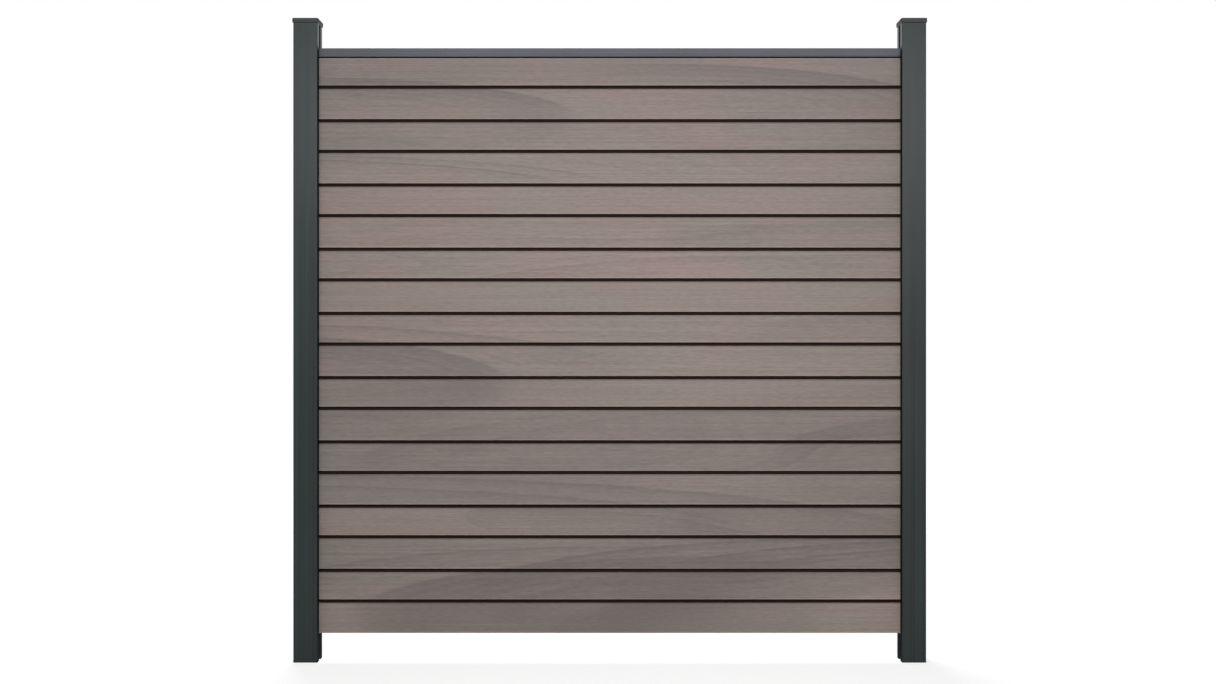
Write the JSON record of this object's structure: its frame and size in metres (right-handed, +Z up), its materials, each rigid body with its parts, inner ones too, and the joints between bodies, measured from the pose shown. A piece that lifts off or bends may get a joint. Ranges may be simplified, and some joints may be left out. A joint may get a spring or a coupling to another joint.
{
  "type": "plug-in fence",
  "caption": "Plug-in privacy fence: slotted square posts with flat caps hold a stack of plugged double-slat composite boards under a slim metal top rail.",
  "frame": {"origin": "middle of the fence on the ground: the level of both posts' lower ends", "axes": "+Z up, +X to the right seen from the front, the front looks along -Y"},
  "size_m": [1.936, 0.08, 1.965],
  "materials": {
    "post_aluminium": "matte",
    "cap_plastic": "matte",
    "board_composite": "matte",
    "rail_aluminium": "satin",
    "rest_aluminium": "satin",
    "screw_steel": "satin"
  },
  "bodies": {
    "posts": {"left_post": "post_aluminium", "right_post": "post_aluminium", "left_board_rest": "rest_aluminium", "right_board_rest": "rest_aluminium", "rest_screws": "screw_steel"},
    "board_1": {"board_1": "board_composite"},
    "board_2": {"board_2": "board_composite"},
    "board_3": {"board_3": "board_composite"},
    "board_4": {"board_4": "board_composite"},
    "board_5": {"board_5": "board_composite"},
    "board_6": {"board_6": "board_composite"},
    "board_7": {"board_7": "board_composite"},
    "board_8": {"board_8": "board_composite"},
    "board_9": {"board_9": "board_composite"},
    "rail": {"top_rail": "rail_aluminium"},
    "left_cap": {"left_post_cap": "cap_plastic"},
    "right_cap": {"right_post_cap": "cap_plastic"}
  },
  "joints": [
    {"name": "board_1_plug", "type": "slide", "parent": "posts", "child": "board_1", "axis": [0, 0, 1], "range_m": [0, 0.0062]},
    {"name": "board_2_plug", "type": "slide", "parent": "board_1", "child": "board_2", "axis": [0, 0, 1], "range_m": [0, 0.0062]},
    {"name": "board_3_plug", "type": "slide", "parent": "board_2", "child": "board_3", "axis": [0, 0, 1], "range_m": [0, 0.0062]},
    {"name": "board_4_plug", "type": "slide", "parent": "board_3", "child": "board_4", "axis": [0, 0, 1], "range_m": [0, 0.0062]},
    {"name": "board_5_plug", "type": "slide", "parent": "board_4", "child": "board_5", "axis": [0, 0, 1], "range_m": [0, 0.0062]},
    {"name": "board_6_plug", "type": "slide", "parent": "board_5", "child": "board_6", "axis": [0, 0, 1], "range_m": [0, 0.0062]},
    {"name": "board_7_plug", "type": "slide", "parent": "board_6", "child": "board_7", "axis": [0, 0, 1], "range_m": [0, 0.0062]},
    {"name": "board_8_plug", "type": "slide", "parent": "board_7", "child": "board_8", "axis": [0, 0, 1], "range_m": [0, 0.0062]},
    {"name": "board_9_plug", "type": "slide", "parent": "board_8", "child": "board_9", "axis": [0, 0, 1], "range_m": [0, 0.0062]},
    {"name": "rail_plug", "type": "slide", "parent": "board_9", "child": "rail", "axis": [0, 0, 1], "range_m": [0, 0.0153]},
    {"name": "left_cap_pull", "type": "slide", "parent": "posts", "child": "left_cap", "axis": [0, 0, 1], "range_m": [0, 0.04]},
    {"name": "right_cap_pull", "type": "slide", "parent": "posts", "child": "right_cap", "axis": [0, 0, 1], "range_m": [0, 0.04]}
  ]
}
